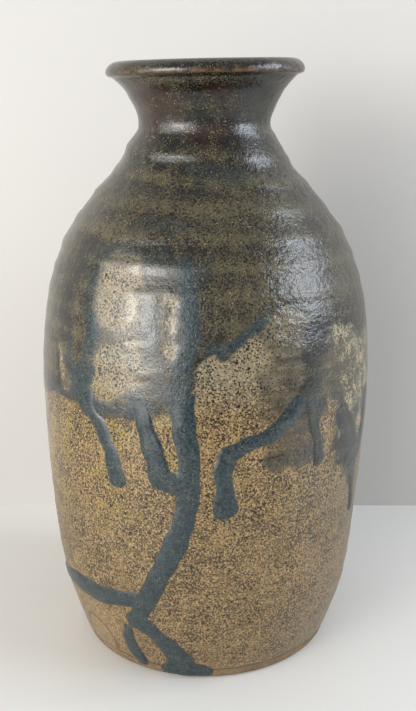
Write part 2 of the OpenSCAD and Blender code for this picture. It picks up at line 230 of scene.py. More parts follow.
class Outline:
    """The clay's outline as one curve: up the outside, over the lip, down the inside, to the axis.

    A place on it is its length s in millimetres from the ground at the foot. Between the CAD
    wall's own points it is a cubic through them (Catmull-Rom on the chord length), and its normal
    is the tangent turned a quarter turn outwards.
    """

    def __init__(self):
        rising, falling = [], []
        for node, keep in (("lower_body", lambda z: z < SEAM_LOW - 0.5),
                           ("seam_slip", lambda z: abs(z - SEAM) < 0.5),
                           ("collar", lambda z: z > SEAM_HIGH + 0.5)):
            for side, stack in ((1, rising), (-1, falling)):
                heights, radii = wall(node, side)
                chosen = keep(heights) & ((side > 0) | (heights > FLOOR + 0.05))
                stack.append(np.c_[radii[chosen], heights[chosen]])
        outside = np.concatenate(rising)
        inside = np.concatenate(falling)
        outside = outside[np.argsort(outside[:, 1])]
        inside = inside[np.argsort(-inside[:, 1])]
        floor = [[inside[-1, 0] - 1, FLOOR], [0, FLOOR]]
        points = np.concatenate([outside, inside, floor])
        gap = np.linalg.norm(np.diff(points, axis=0), axis=1)
        points = points[np.r_[True, gap > 0.15]]
        chord = np.r_[0, np.cumsum(np.linalg.norm(np.diff(points, axis=0), axis=1))]
        tangent = np.gradient(points, chord, axis=0)
        self.s = np.arange(0, chord[-1], 0.25)
        left = np.clip(np.searchsorted(chord, self.s, "right") - 1, 0, len(chord) - 2)
        width = (chord[left + 1] - chord[left])[:, None]
        t = (self.s - chord[left])[:, None] / width
        self.points = ((2 * t**3 - 3 * t**2 + 1) * points[left]
                       + (t**3 - 2 * t**2 + t) * width * tangent[left]
                       + (3 * t**2 - 2 * t**3) * points[left + 1]
                       + (t**3 - t**2) * width * tangent[left + 1])
        direction = np.gradient(self.points, self.s, axis=0)
        direction /= np.linalg.norm(direction, axis=1)[:, None]
        self.normal = np.c_[direction[:, 1], -direction[:, 0]]
        self.crown = self.s[np.argmax(self.points[:, 1])]
        self.end = self.s[-1]
        self.rising = self.points[self.s < self.crown]

    def read(self, s):
        """Radius, height, and the normal's two parts at the lengths s."""
        columns = np.c_[self.points, self.normal].T
        return [np.interp(s, self.s, column) for column in columns]

    def outside(self, height):
        """Length s at which the outside passes a height."""
        return float(np.interp(height, self.rising[:, 1], self.s[:len(self.rising)]))

    def outer_radius(self, height):
        """Radius of the outside at a height."""
        return np.interp(height, self.rising[:, 1], self.rising[:, 0])

    def inside(self, height):
        """Length s at which the inside passes a height."""
        falling = self.s > self.crown
        return float(np.interp(-height, -self.points[falling, 1], self.s[falling]))


outline = Outline()


# ---------------------------------------------------------------- the potter's hand

def ripple(seed, azimuth, height, turns, reach, waves=9):
    """A smooth unevenness of about -1 to 1: a seeded sum of sines of azimuth and height.

    Each wave has a whole number of turns round the pot, up to turns, so it closes on itself, and
    its length up the wall is at least reach.
    """
    draw = np.random.default_rng(seed)
    total = np.zeros(np.broadcast(azimuth, height).shape)
    for _ in range(waves):
        around = int(draw.integers(0, turns + 1))
        up = draw.uniform(-1, 1) * 2 * math.pi / reach
        start = draw.uniform(0, 2 * math.pi)
        total = total + np.sin(np.radians(azimuth) * around + height * up + start)
    return total / math.sqrt(waves)


def spiral(azimuth, height):
    """The throwing rings, a spiral that falls to the right: +1 on a crest, about -1 in a groove."""
    wander = 0.10 * ripple(31, azimuth, height, 3, 60)
    climb = (height - SEAM - 0.8) / THROWING_PITCH
    turn = 2 * math.pi * (climb + (azimuth + THROWING_TURN) / 360 + wander)
    return (np.cos(turn) + 0.32 * np.cos(2 * turn + 0.7)) / 1.2


def relief(azimuth, s):
    """How far the wall stands out from its outline, along the normal, in millimetres.

    The sum of throwing rings, which are strongest from the shoulder to the neck, a groove under
    the luted seam, a slow out-of-round and the dents of the potter's fingers. It fades out at the
    foot's edge, over the lip and down the inside.
    """
    _, height, _, _ = outline.read(s)
    outside = smooth(outline.crown - 6 - s, 0, 8)
    fading = smooth(s, 0, 6) * smooth(outline.end - s, 20, 60)
    high = smooth(height, 150, 176) * (1 - 0.7 * smooth(height, 214, 234))
    rings = LOW_RINGS + HIGH_RINGS * high
    below_seam = height - SEAM + 1.4 + 2.2 * azimuth / 90
    groove = SEAM_GROOVE * np.exp(-(below_seam / 0.8) ** 2) * (0.6 - 0.4 * azimuth / 180)
    slow = OUT_OF_ROUND * ripple(7, azimuth, height, 3, 160) * smooth(height, 6, 60)
    dents = FINGER_DENTS * ripple(8, azimuth, height, 14, 14, 14)
    own = rings * spiral(azimuth, height) - groove + slow + dents
    hidden = HIDDEN_RINGS * spiral(azimuth, height)
    return (outside * own + (1 - outside) * hidden) * fading


def settle(points):
    """The lip's lean: heights above the flare rise or fall in proportion to x."""
    points[..., 2] += LIP_TILT * points[..., 0] * smooth(points[..., 2], 232, 246)
    return points


def place(azimuth, s, offset):
    """Points at azimuth and length s, set off along the clay's normal by offset and the relief."""
    radius, height, normal_r, normal_z = outline.read(s)
    away = offset + relief(azimuth, s)
    r = radius + normal_r * away
    z = height + normal_z * away
    turn = np.radians(azimuth)
    return settle(np.stack([r * np.sin(turn), -r * np.cos(turn), z + 0 * turn], -1))


# ---------------------------------------------------------------- glaze film

def strokes(azimuth, height, paths):
    """How deep each place lies in brushed paths: 1 on a middle line, 0 at an edge, less outside.

    A path is a chain of (azimuth, height, width); the depth is 1 - (2 distance / width)^2 to its
    nearest stretch, with round ends. Degrees are turned into millimetres on the wall's own radius.
    Far away the depth stops falling at -9.
    """
    arc = outline.outer_radius(height) * math.pi / 180
    best = np.full(np.broadcast(azimuth, height).shape, -9.0)
    for path in paths:
        for (a0, z0, w0), (a1, z1, w1) in zip(path[:-1], path[1:]):
            across = ((azimuth - a0 + 180) % 360 - 180) * arc
            up = height - z0
            run_across = (a1 - a0) * arc
            run_up = z1 - z0
            along = (across * run_across + up * run_up) / (run_across**2 + run_up**2)
            share = np.clip(along, 0, 1)
            distance = np.hypot(across - share * run_across, up - share * run_up)
            width = w0 + share * (w1 - w0)
            best = np.maximum(best, 1 - (2 * distance / width) ** 2)
    return best


def wavering(azimuth, height, size, seed):
    """The same places moved by a seeded unevenness of that size, which frays straight edges."""
    moved = size * ripple(seed, azimuth, height, 40, 9, 16)
    raised = size * ripple(seed + 1, azimuth, height, 40, 9, 16)
    degree = 1.2         # of arc on the belly, in millimetres
    return azimuth + moved / degree, height + raised


def edge_height(azimuth):
    """Height of the dark coat's lower edge: round-topped arches between the points of DRAPE.

    Between two points the edge is a quarter sine that is level at the higher one, mixed with the
    ease curve.
    """
    knot, edge = np.array(DRAPE, float).T
    around = (azimuth - knot[0]) % 360 + knot[0]
    left = np.clip(np.searchsorted(knot, around, "right") - 1, 0, len(knot) - 2)
    share = (around - knot[left]) / (knot[left + 1] - knot[left])
    rising = edge[left + 1] > edge[left]
    quarter = share * math.pi / 2
    arched = np.where(rising, np.sin(quarter), 1 - np.cos(quarter))
    share = 0.3 * smooth(share, 0, 1) + 0.7 * arched
    return edge[left] + share * (edge[left + 1] - edge[left])


def dark_film(azimuth, height):
    """How thick the dark coat lies, from 0 (bare) to 1 (full).

    It is full above its edge, less in the windows and at most what each veil and streak gives,
    and a slow ripple thins it by up to 18 %.
    """
    a, z = wavering(azimuth, height, 0.8, 51)
    film = smooth(z - edge_height(a), -2.5, 3.5)
    bare = smooth(strokes(a, z, WINDOWS), -0.6, 0.75)
    film = film * (1 - 0.94 * bare)
    ragged = wavering(azimuth, height, 2.2, 53)
    for cover, path in VEILS:
        film = np.maximum(film, cover * smooth(strokes(*ragged, [path]), -0.6, 0.7))
    for depth, path in STREAKS:
        film = np.maximum(film, depth * smooth(strokes(a, z, [path]), -0.1, 0.6))
    thin = 0.5 + 0.5 * ripple(61, a, z, 9, 26, 12)
    return np.clip(film * (1 - 0.18 * np.clip(thin, 0, 1)), 0, 1)


def pool_depth(azimuth, height):
    """Where the dark glaze has pooled thick enough to turn blue, 0 to 1."""
    a, z = wavering(azimuth, height, 0.9, 71)
    pool = smooth(strokes(a, z, RUNS), -0.4, 0.3) * smooth(140 - z, 0, 14)
    for depth, path in STREAKS:
        pool = np.maximum(pool, depth * smooth(strokes(a, z, [path]), -0.6, 0.9))
    return pool


def run_depth(azimuth, height):
    """How deep a place lies inside the thick runs: their strokes' depth, with an uneven edge."""
    a, z = wavering(azimuth, height, 0.42, 91)
    return strokes(a, z, RUNS)


# ---------------------------------------------------------------- pieces

def azimuths(columns):
    """Azimuths of the columns of a closed ring of points."""
    return np.arange(columns) * 360.0 / columns - 180.0


def finish_piece(name, points, faces, material, node, fields):
    """One mesh object at the origin that rides on the body and stands for a node.

    faces is a list of arrays of point numbers, one array for each number of corners; points that
    no face uses are dropped. fields gives each vertex attribute's values.
    """
    used, index = np.unique(np.concatenate([f.ravel() for f in faces]), return_inverse=True)
    counts = np.concatenate([np.full(len(f), f.shape[1]) for f in faces])
    mesh = bpy.data.meshes.new(name)
    mesh.vertices.add(len(used))
    mesh.vertices.foreach_set("co", (points[used] * MM).astype(np.float32).ravel())
    mesh.loops.add(len(index))
    mesh.loops.foreach_set("vertex_index", index.ravel().astype(np.int32))
    mesh.polygons.add(len(counts))
    mesh.polygons.foreach_set("loop_start", np.r_[0, np.cumsum(counts)[:-1]].astype(np.int32))
    mesh.polygons.foreach_set("use_smooth", np.ones(len(counts), bool))
    for field, values in fields.items():
        layer = mesh.attributes.new(field, "FLOAT", "POINT")
        layer.data.foreach_set("value", values.ravel()[used].astype(np.float32))
    mesh.update(calc_edges=True)
    mesh.validate()
    mesh.materials.append(material)
    piece = bpy.data.objects.new(name, mesh)
    bpy.context.scene.collection.objects.link(piece)
    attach(piece, BODY)
    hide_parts(node)
    return piece


def ring_quads(rows, columns, closed):
    """Outward quads between the rows of a ring grid; closed joins the last row to the first."""
    lower, left = np.meshgrid(np.arange(rows if closed else rows - 1), np.arange(columns),
                              indexing="ij")
    upper, right = (lower + 1) % rows * columns, (left + 1) % columns
    lower = lower * columns
    return np.stack([lower + left, lower + right, upper + right, upper + left], -1).reshape(-1, 4)


def even_rows(start, stop, offset, step):
    """Rows (s, offset) from one length s to another at one offset, about a step apart."""
    share = np.linspace(0, 1, int(round(abs(stop - start) / step)) + 1)
    s = start * (1 - share) + stop * share
    return np.c_[s, np.full(len(s), float(offset))]


def turned_piece(name, rows, columns, material, node, fields=None):
    """A ring-shaped solid: the closed section given by rows (s, offset), carried round the axis."""
    azimuth, s = np.meshgrid(azimuths(columns), rows[:, 0])
    points = place(azimuth, s, rows[:, 1:]).reshape(-1, 3)
    quads = ring_quads(len(rows), columns, True)
    values = fields(azimuth, s) if fields else {}
    return finish_piece(name, points, [quads], material, node, values)


def fanned_piece(name, points, first_height, last_height, material, node):
    """A solid from rings of points (row, column, xyz), with a fan round the axis at each end."""
    rows, columns, _ = points.shape
    centres = [[0, 0, first_height], [0, 0, last_height]]
    corner = np.arange(columns)
    right = (corner + 1) % columns
    last = (rows - 1) * columns
    middle = np.full(columns, rows * columns)
    first_fan = np.stack([right, corner, middle], -1)
    last_fan = np.stack([last + corner, last + right, middle + 1], -1)
    faces = [ring_quads(rows, columns, False), first_fan, last_fan]
    points = np.concatenate([points.reshape(-1, 3), centres])
    return finish_piece(name, points, faces, material, node, {})


def coat_fields(azimuth, s):
    """The fields that the glaze reads: film, pool, crest, froth, and toast on the lip's arris.

    Past the crown of the lip the film is full and fades out where the liner begins.
    """
    _, height, _, _ = outline.read(s)
    inner = smooth(s - outline.inside(LINER_TOP), -2.5, 0.5)
    film = np.where(s > outline.crown, 1 - inner, dark_film(azimuth, height))
    pool = np.where(s > outline.crown, 0.2, pool_depth(azimuth, height))
    froth = smooth(strokes(*wavering(azimuth, height, 2.0, 81), FROTH), -0.8, 0.9)
    deep = smooth(strokes(*wavering(azimuth, height, 1.2, 83), DEEPS), -0.6, 0.7)
    broken = smooth(ripple(41, azimuth, height, 60, 60, 20), -1.8, 0.2)
    return {
        "film": film,
        "pool": pool * (1 - 0.7 * deep),
        "crest": 0.5 + 0.5 * spiral(azimuth, height) - 0.9 * deep,
        "froth": froth,
        "toast": 0.9 * np.exp(-((s - outline.outside(ARRIS)) / 0.40) ** 2) * broken,
    }


def fill_corners(mask):
    """A mask of cells with one added wherever two chosen cells touch only at a corner.

    An added cell can touch another corner, so it goes over the mask six times.
    """
    mask = mask.copy()
    for _ in range(6):
        a, b = mask[:-1], np.roll(mask, -1, 1)[:-1]
        c, d = mask[1:], np.roll(mask, -1, 1)[1:]
        rising = a & d & ~b & ~c
        falling = b & c & ~a & ~d
        mask[:-1] |= falling
        mask[1:] |= rising
    return mask


def most_around(values):
    """The most of the four corners of each cell of a ring grid."""
    right = np.roll(values, -1, 1)
    return np.maximum.reduce([values[:-1], values[1:], right[:-1], right[1:]])


def poured_piece(name, rows, columns, chosen, top, bottom, material, node, fields):
    """A closed skin over the chosen cells of a ring grid: top, bottom and a wall round its edge.

    chosen is true for each cell (row, column) that is covered, and top and bottom are the skin's
    two offsets from the clay at each point.
    """
    azimuth, s = np.meshgrid(azimuths(columns), rows)
    chosen = fill_corners(chosen)
    count = len(rows) * columns
    points = np.concatenate([place(azimuth, s, side).reshape(-1, 3) for side in (top, bottom)])
    quads = ring_quads(len(rows), columns, False)
    upper = quads[chosen.ravel()]
    walls = []
    empty = np.zeros((1, columns), bool)
    neighbours = (
        (0, 1, np.concatenate([empty, chosen[:-1]])),
        (1, 2, np.roll(chosen, -1, 1)),
        (2, 3, np.concatenate([chosen[1:], empty])),
        (3, 0, np.roll(chosen, 1, 1)),
    )
    for first, second, beside in neighbours:
        rim = quads[(chosen & ~beside).ravel()]
        start, stop = rim[:, first], rim[:, second]
        walls.append(np.stack([stop, start, start + count, stop + count], -1))
    faces = [upper, upper[:, ::-1] + count] + walls
    doubled = {field: np.tile(values.ravel(), 2) for field, values in fields.items()}
    return finish_piece(name, points, faces, material, node, doubled)


# ---------------------------------------------------------------- materials

def linear(red, green, blue):
    """A colour given as 0-255 display values, as the linear RGBA that Blender takes."""
    parts = [c / 255 for c in (red, green, blue)]
    lit = [c / 12.92 if c <= 0.04045 else ((c + 0.055) / 1.055) ** 2.4 for c in parts]
    return (*lit, 1.0)


class Bench:
    """Lays nodes into one tree. Each call returns the new node's output."""

    def __init__(self, tree):
        self.tree = tree

    def put(self, kind, inputs=None, out=0, **settings):
        """A node with its settings; each input is a socket to link or a value to set."""
        node = self.tree.nodes.new(kind)
        for name, value in settings.items():
            setattr(node, name, value)
        for name, value in (inputs or {}).items():
            socket = node.inputs[name]
            if isinstance(value, bpy.types.NodeSocket):
                self.tree.links.new(value, socket)
            else:
                socket.default_value = value
        return node.outputs[out] if len(node.outputs) else None

    def millimetres(self):
        """The place on the object, in millimetres."""
        metres = self.put("ShaderNodeTexCoord", out="Object")
        return self.put("ShaderNodeVectorMath", {0: metres, 1: (1000.0, 1000.0, 1000.0)},
                        operation="MULTIPLY")

    def math(self, operation, a, b):
        """A Math node."""
        return self.put("ShaderNodeMath", {0: a, 1: b}, operation=operation)

    def add(self, first, *others):
        """The sum of all values."""
        for value in others:
            first = self.math("ADD", first, value)
        return first

    def times(self, first, *others):
        """The product of all values."""
        for value in others:
            first = self.math("MULTIPLY", first, value)
        return first

    def swing(self, noise, size):
        """A noise moved to swing around 0, times size."""
        return self.times(self.math("SUBTRACT", noise, 0.5), size)

    def step(self, value, low, high, to_low=0.0, to_high=1.0):
        """An eased step from to_low to to_high as value goes from low to high."""
        return self.put("ShaderNodeMapRange",
                        {0: value, 1: low, 2: high, 3: to_low, 4: to_high},
                        interpolation_type="SMOOTHSTEP")

    def mix(self, factor, first, second):
        """A colour between first and second."""
        return self.put("ShaderNodeMix", {0: factor, 6: first, 7: second}, out=2,
                        data_type="RGBA")

    def noise(self, where, size, detail=2.0, rough=0.5):
        """Noise with features of about that size in millimetres, around 0.5."""
        return self.put("ShaderNodeTexNoise", {"Vector": where, "Scale": 1 / size,
                                               "Detail": detail, "Roughness": rough})

    def dots(self, where, spacing, radius, low, high):
        """Round dots on scattered points that lie about spacing millimetres apart.

        The radius is in parts of the spacing. A dot's edge is an eased step as the way in from
        its rim, in the same unit, goes from low to high.
        """
        distance = self.put("ShaderNodeTexVoronoi", {"Vector": where, "Scale": 1 / spacing},
                            out="Distance")
        return self.step(self.math("SUBTRACT", radius, distance), low, high)

    def stretched(self, where, x, y, z):
        """The same places stretched by three factors."""
        return self.put("ShaderNodeMapping", {"Vector": where, "Scale": (x, y, z)})


def new_group(name, inputs, outputs):
    """A node group with named float inputs and (name, kind) outputs."""
    tree = bpy.data.node_groups.new(name, "ShaderNodeTree")
    for socket, value in inputs:
        made = tree.interface.new_socket(socket, in_out="INPUT", socket_type="NodeSocketFloat")
        made.default_value = value
    for socket, kind in outputs:
        tree.interface.new_socket(socket, in_out="OUTPUT", socket_type=kind)
    given = tree.nodes.new("NodeGroupInput").outputs
    out = tree.nodes.new("NodeGroupOutput").inputs
    return tree, Bench(tree), given, out


def oatmeal_colour(b, n):
    """Oatmeal: two tans clouded with throwing streaks, ochre on the left flank, painted reflection
    haze up high, iron specks.

    Returns the colour and the large iron spots, which also dent the surface.
    """
    cloud = b.add(b.times(n.mottle, 0.5), b.times(n.drift, 0.5), b.swing(n.brushed, 0.85))
    colour = b.mix(b.step(cloud, 0.36, 0.64), linear(72, 54, 31), linear(108, 86, 53))
    ochre = b.times(b.step(b.noise(n.where, 15.0), 0.44, 0.62),
                    b.step(n.height, 55.0, 90.0),
                    b.step(n.height, 132.0, 112.0, 0.15, 1.0),
                    b.step(n.side, 20.0, -45.0, 0.25, 0.9))
    colour = b.mix(ochre, colour, linear(116, 98, 40))
    colour = b.mix(b.step(n.grain, 0.46, 0.62, 0.0, 0.9), colour, linear(158, 134, 92))
    # painted reflection: from 116 mm up the oatmeal turns up to 30 % paler and greyer, a painted
    # haze of the window light's reflection over the bare windows
    colour = b.mix(b.step(n.height, 116.0, 140.0, 0.0, 0.30), colour, linear(140, 142, 126))

    # iron specks, fewer near the foot where the coat is thin
    low = b.times(b.step(n.side, -38.0, -22.0), b.step(n.height, 3.0, 14.0, 0.4, 1.0))
    share = b.math("MAXIMUM", low, b.step(n.height, 24.0, 38.0, 0.12, 1.0))
    radius = b.step(b.noise(n.where, 7.0), 0.3, 0.7, 0.30, 0.46)
    speck = b.dots(n.where, 0.97, radius, -0.04, 0.05)
    colour = b.mix(b.times(speck, share, 0.94), colour, linear(22, 14, 7))
    spot = b.dots(n.where, 4.4, 0.15, -0.03, 0.03)
    colour = b.mix(b.times(spot, share), colour, linear(20, 12, 7))
    return colour, spot


def with_fingertip(b, n, colour):
    """The colour with the mark of a fingertip that held the pot: a pale pad in a dark line."""
    distance = b.put("ShaderNodeVectorMath",
                     {0: b.stretched(n.where, 1.0, 1.0, 0.85), 1: FINGERTIP},
                     out="Value", operation="DISTANCE")
    touch = b.add(distance, b.swing(n.mottle, 2.4))
    colour = b.mix(b.step(touch, 9.6, 7.0, 0.0, 0.30), colour, linear(138, 118, 86))
    line = b.times(b.step(touch, 8.3, 9.4), b.step(touch, 10.4, 9.6))
    return b.mix(b.times(line, 0.7), colour, linear(62, 44, 28))


def dark_colour(b, n, crest):
    """Dark coat: olive on the crests, charcoal in the grooves, iron brown on the neck, flecks.

    Returns the colour and the cream flecks, which the pooled glaze has too.
    """
    tone = b.add(b.times(crest, 0.30), n.drift)
    tone = b.math("SUBTRACT", tone, b.step(n.height, 196.0, 224.0, 0.0, 0.34))
    tone = b.add(tone, b.swing(n.mottle, 1.2), b.swing(n.grain, 2.8))
    colour = b.mix(b.step(tone, 0.22, 1.12), linear(12, 12, 10), linear(76, 69, 49))
    iron = b.times(b.step(b.noise(n.where, 17.0), 0.48, 0.62),
                   b.step(n.height, 205.0, 228.0),
                   b.step(n.height, 243.0, 239.0, 0.15, 1.0))
    colour = b.mix(b.times(iron, 0.7), colour, linear(48, 27, 18))
    drifts = b.add(b.noise(n.where, 4.0), b.times(crest, 0.12))
    fleck = b.times(b.dots(n.where, 0.65, 0.30, -0.05, 0.08), b.step(drifts, 0.46, 0.70))
    colour = b.mix(b.times(fleck, 0.48), colour, linear(144, 134, 98))
    bronze = b.dots(n.where, 3.2, 0.10, -0.03, 0.03)
    colour = b.mix(b.times(bronze, 0.6), colour, linear(150, 124, 84))
    return colour, fleck


def pooled_colour(b, n, fleck):
    """Pooled glaze: blue-teal, paler where it is full of bubbles."""
    bubbles = b.step(b.noise(n.where, 1.1, 3.0, 0.65), 0.34, 0.68)
    colour = b.mix(bubbles, linear(12, 25, 33), linear(45, 60, 62))
    return b.mix(b.times(fleck, 0.55), colour, linear(124, 124, 94))


def with_froth(b, n, froth, colour):
    """The colour with cream and pink flakes where the thin coat froths."""
    frothy = b.times(froth, b.step(n.mottle, 0.36, 0.60, 0.4, 1.0))
    colour = b.mix(b.times(frothy, 0.45), colour, linear(92, 88, 66))
    tint = b.step(b.noise(n.where, 3.0), 0.57, 0.63)
    pale = b.mix(tint, linear(160, 153, 118), linear(184, 134, 118))
    flake = b.add(b.noise(n.where, 0.95, 3.0, 0.65), b.swing(n.mottle, 0.5))
    return b.mix(b.times(b.step(flake, 0.49, 0.60), frothy, 0.85), colour, pale)


def with_toast(b, n, toast, colour):
    """The colour with rusty brown where the glaze thins out over an edge."""
    cover = b.times(b.step(toast, 0.0, 0.6), b.step(b.noise(n.where, 0.8), 0.30, 0.50))
    rust = b.mix(b.step(toast, 0.5, 0.9), linear(62, 42, 24), linear(132, 92, 52))
    return b.mix(cover, colour, rust)


def glaze_bumps(b, n, spot):
    """The fine unevenness: grain, orange peel, throwing streaks, dented iron spots, and wrinkles
    on the right of the shoulder."""
    wrinkle = b.noise(b.stretched(n.where, 0.7, 0.7, 1.0), 2.2, 3.0, 0.6)
    creased = b.times(b.step(n.side, 0.0, 24.0, 0.0, 2.6), b.step(n.height, 130.0, 150.0))
    bumps = b.add(b.times(n.grain, 0.5), b.times(b.noise(n.where, 2.6), 0.7),
                  b.times(n.brushed, 0.35), b.times(wrinkle, creased))
    return b.math("SUBTRACT", bumps, b.times(spot, 0.3))


def stoneware_glaze_group():
    """The whole glaze surface: speckled oatmeal under a dark coat.

    Film says how much the dark coat covers, Pool where it turns blue, Crest where a throwing
    ring stands out, Froth where it flakes and Toast where an edge burns through.
    """
    tree, b, given, out = new_group(
        "stoneware glaze",
        [("Film", 0.0), ("Pool", 0.0), ("Crest", 0.5), ("Froth", 0.0), ("Toast", 0.0)],
        [("Color", "NodeSocketColor"), ("Roughness", "NodeSocketFloat"),
         ("Height", "NodeSocketFloat")])
    where = b.millimetres()
    # the place, and the noises that all parts of the surface share
    n = SimpleNamespace(
        where=where,
        height=b.put("ShaderNodeSeparateXYZ", {0: where}, out="Z"),
        side=b.put("ShaderNodeSeparateXYZ", {0: where}, out="X"),
        grain=b.noise(where, 0.75, 2.0, 0.6),
        mottle=b.noise(where, 5.0, 3.0, 0.55),
        drift=b.noise(where, 26.0, 2.0, 0.5),
        brushed=b.noise(b.stretched(where, 0.12, 0.12, 1.0), 1.6, 3.0, 0.6))

    oatmeal, spot = oatmeal_colour(b, n)
    oatmeal = with_fingertip(b, n, oatmeal)
    dark, fleck = dark_colour(b, n, given["Crest"])
    pool = b.add(given["Pool"], b.swing(n.mottle, 0.6))
    over = b.mix(b.step(pool, 0.15, 0.90), dark, pooled_colour(b, n, fleck))

    thick = b.add(given["Film"], b.swing(n.grain, 1.1), b.swing(n.mottle, 0.7),
                  b.swing(n.brushed, 0.8))
    cover = b.times(b.step(thick, 0.18, 0.70), b.step(given["Film"], 0.02, 0.30))
    colour = b.mix(cover, oatmeal, over)
    colour = with_froth(b, n, given["Froth"], colour)
    colour = with_toast(b, n, given["Toast"], colour)
    rough = b.add(b.step(n.grain, 0.2, 0.8, 0.13, 0.25),
                  b.step(n.height, 115.0, 60.0, 0.0, 0.18))

    tree.links.new(colour, out["Color"])
    tree.links.new(rough, out["Roughness"])
    tree.links.new(glaze_bumps(b, n, spot), out["Height"])
    return tree


def new_material(name):
    """An empty node material and its bench."""
    material = bpy.data.materials.new(name)
    material.use_nodes = True
    material.node_tree.nodes.clear()
    return material, Bench(material.node_tree)


def glaze_material(name, group, bump, fields):
    """A glossy glaze: the shared group, fed by this piece's own fields, on a Principled shader."""
    material, b = new_material(name)
    node = b.tree.nodes.new("ShaderNodeGroup")
    node.node_tree = group
    for socket, field in fields.items():
        if isinstance(field, str):
            value = b.put("ShaderNodeAttribute", out="Fac", attribute_name=field)
            b.tree.links.new(value, node.inputs[socket])
        else:
            node.inputs[socket].default_value = field
    normal = b.put("ShaderNodeBump", {"Height": node.outputs["Height"], "Strength": 1.0,
                                      "Distance": bump * MM})
    shader = b.put("ShaderNodeBsdfPrincipled",
                   {"Base Color": node.outputs["Color"], "Normal": normal,
                    "Roughness": node.outputs["Roughness"], "IOR": GLAZE_IOR})
    b.put("ShaderNodeOutputMaterial", {"Surface": shader})
    return material


def clay_material(name, pale, deep, rough):
    """Fired clay: two tones clouded together, iron specks and a dry, slightly open surface."""
    material, b = new_material(name)
    where = b.millimetres()
    grain = b.noise(where, 0.8, 3.0, 0.6)
    cloud = b.step(b.noise(where, 9.0, 3.0), 0.35, 0.65)
    colour = b.mix(cloud, linear(*pale), linear(*deep))
    speck = b.dots(where, 1.9, 0.26, -0.04, 0.06)
    colour = b.mix(b.times(speck, 0.7), colour, linear(70, 48, 32))
    colour = b.mix(b.step(grain, 0.4, 0.8, 0.0, 0.35), colour, linear(186, 160, 126))
    normal = b.put("ShaderNodeBump", {"Height": grain, "Strength": 0.5,
                                      "Distance": CLAY_BUMP * MM})
    roughness = b.step(grain, 0.2, 0.8, rough - 0.08, rough + 0.06)
    shader = b.put("ShaderNodeBsdfPrincipled",
                   {"Base Color": colour, "Normal": normal, "Roughness": roughness})
    b.put("ShaderNodeOutputMaterial", {"Surface": shader})
    return material


def stage_material(name, colour, rough):
    """A plain pale sheet with the faintest clouding, seen only from its front."""
    material, b = new_material(name)
    where = b.put("ShaderNodeTexCoord", out="Object")
    cloud = b.put("ShaderNodeTexNoise", {"Vector": where, "Scale": 6.0, "Detail": 2.0})
    deeper = [c - 10 for c in colour]
    tint = b.mix(b.step(cloud, 0.3, 0.7, 0.0, 0.25), linear(*colour), linear(*deeper))
    front = b.put("ShaderNodeBsdfPrincipled", {"Base Color": tint, "Roughness": rough})
    facing_away = b.put("ShaderNodeNewGeometry", out="Backfacing")
    shader = b.put("ShaderNodeMixShader", {0: facing_away, 1: front,
                                           2: b.put("ShaderNodeBsdfTransparent")})
    b.put("ShaderNodeOutputMaterial", {"Surface": shader})
    return material


GLAZE = stoneware_glaze_group()
FIELDS = {"Film": "film", "Pool": "pool", "Crest": "crest", "Froth": "froth", "Toast": "toast"}
OATMEAL = glaze_material("oatmeal glaze", GLAZE, 0.08, FIELDS)
DARK = glaze_material("dark glaze", GLAZE, 0.20, FIELDS)
BLUE = glaze_material("blue-black glaze", GLAZE, 0.06, {**FIELDS, "Froth": 0.0})
LINER = glaze_material("liner glaze", GLAZE, 0.06, {"Film": 0.75, "Pool": 0.1, "Crest": 0.5})
CLAY = clay_material("fired clay", (120, 98, 68), (96, 77, 52), 0.72)
SLIP = clay_material("luting slip", (120, 100, 74), (100, 82, 60), 0.8)


# ---------------------------------------------------------------- build

def coat_rows():
    """Lengths s of the rows that both coats share, from the glaze line to the liner."""
    lip = outline.outside(CLAY_TOP - 7)
    return np.concatenate([np.arange(outline.outside(GLAZE_LINE), lip, ROW_STEP),
                           np.arange(lip, outline.inside(LINER_TOP), LIP_STEP)])


def make_oatmeal_coat():
    """The base coat: the shared rows at its own thickness, and back along the clay.

    It is rounded to nothing at the glaze line by a square root over the first 1.5 mm.
    """
    rows = coat_rows()
    thickness = BASE_T * np.sqrt(np.clip((rows - rows[0]) / 1.5, 0.02, 1))
    back = np.arange(rows[-1], rows[0], -4 * ROW_STEP)
    section = np.concatenate([np.c_[rows, thickness], np.c_[back, 0 * back]])
    return turned_piece("oatmeal_coat", section, COLUMNS, OATMEAL, "oatmeal_glaze", coat_fields)


def make_dark_coat():
    """The dark coat: a skin over the base coat wherever its film is more than a trace.

    Its top rises with the film to the coat's full thickness.
    """
    rows = coat_rows()
    rows = rows[rows > outline.outside(84)]
    azimuth, s = np.meshgrid(azimuths(COLUMNS), rows)
    fields = coat_fields(azimuth, s)
    film = fields["film"]
    top = BASE_T - SUNK + (DARK_T + SUNK) * smooth(film, 0.0, 0.9)
    bottom = np.full(film.shape, BASE_T - 3 * SUNK)
    return poured_piece("dark_coat", rows, COLUMNS, most_around(film) > TRACE, top, bottom, DARK,
                        "dark_glaze", fields)


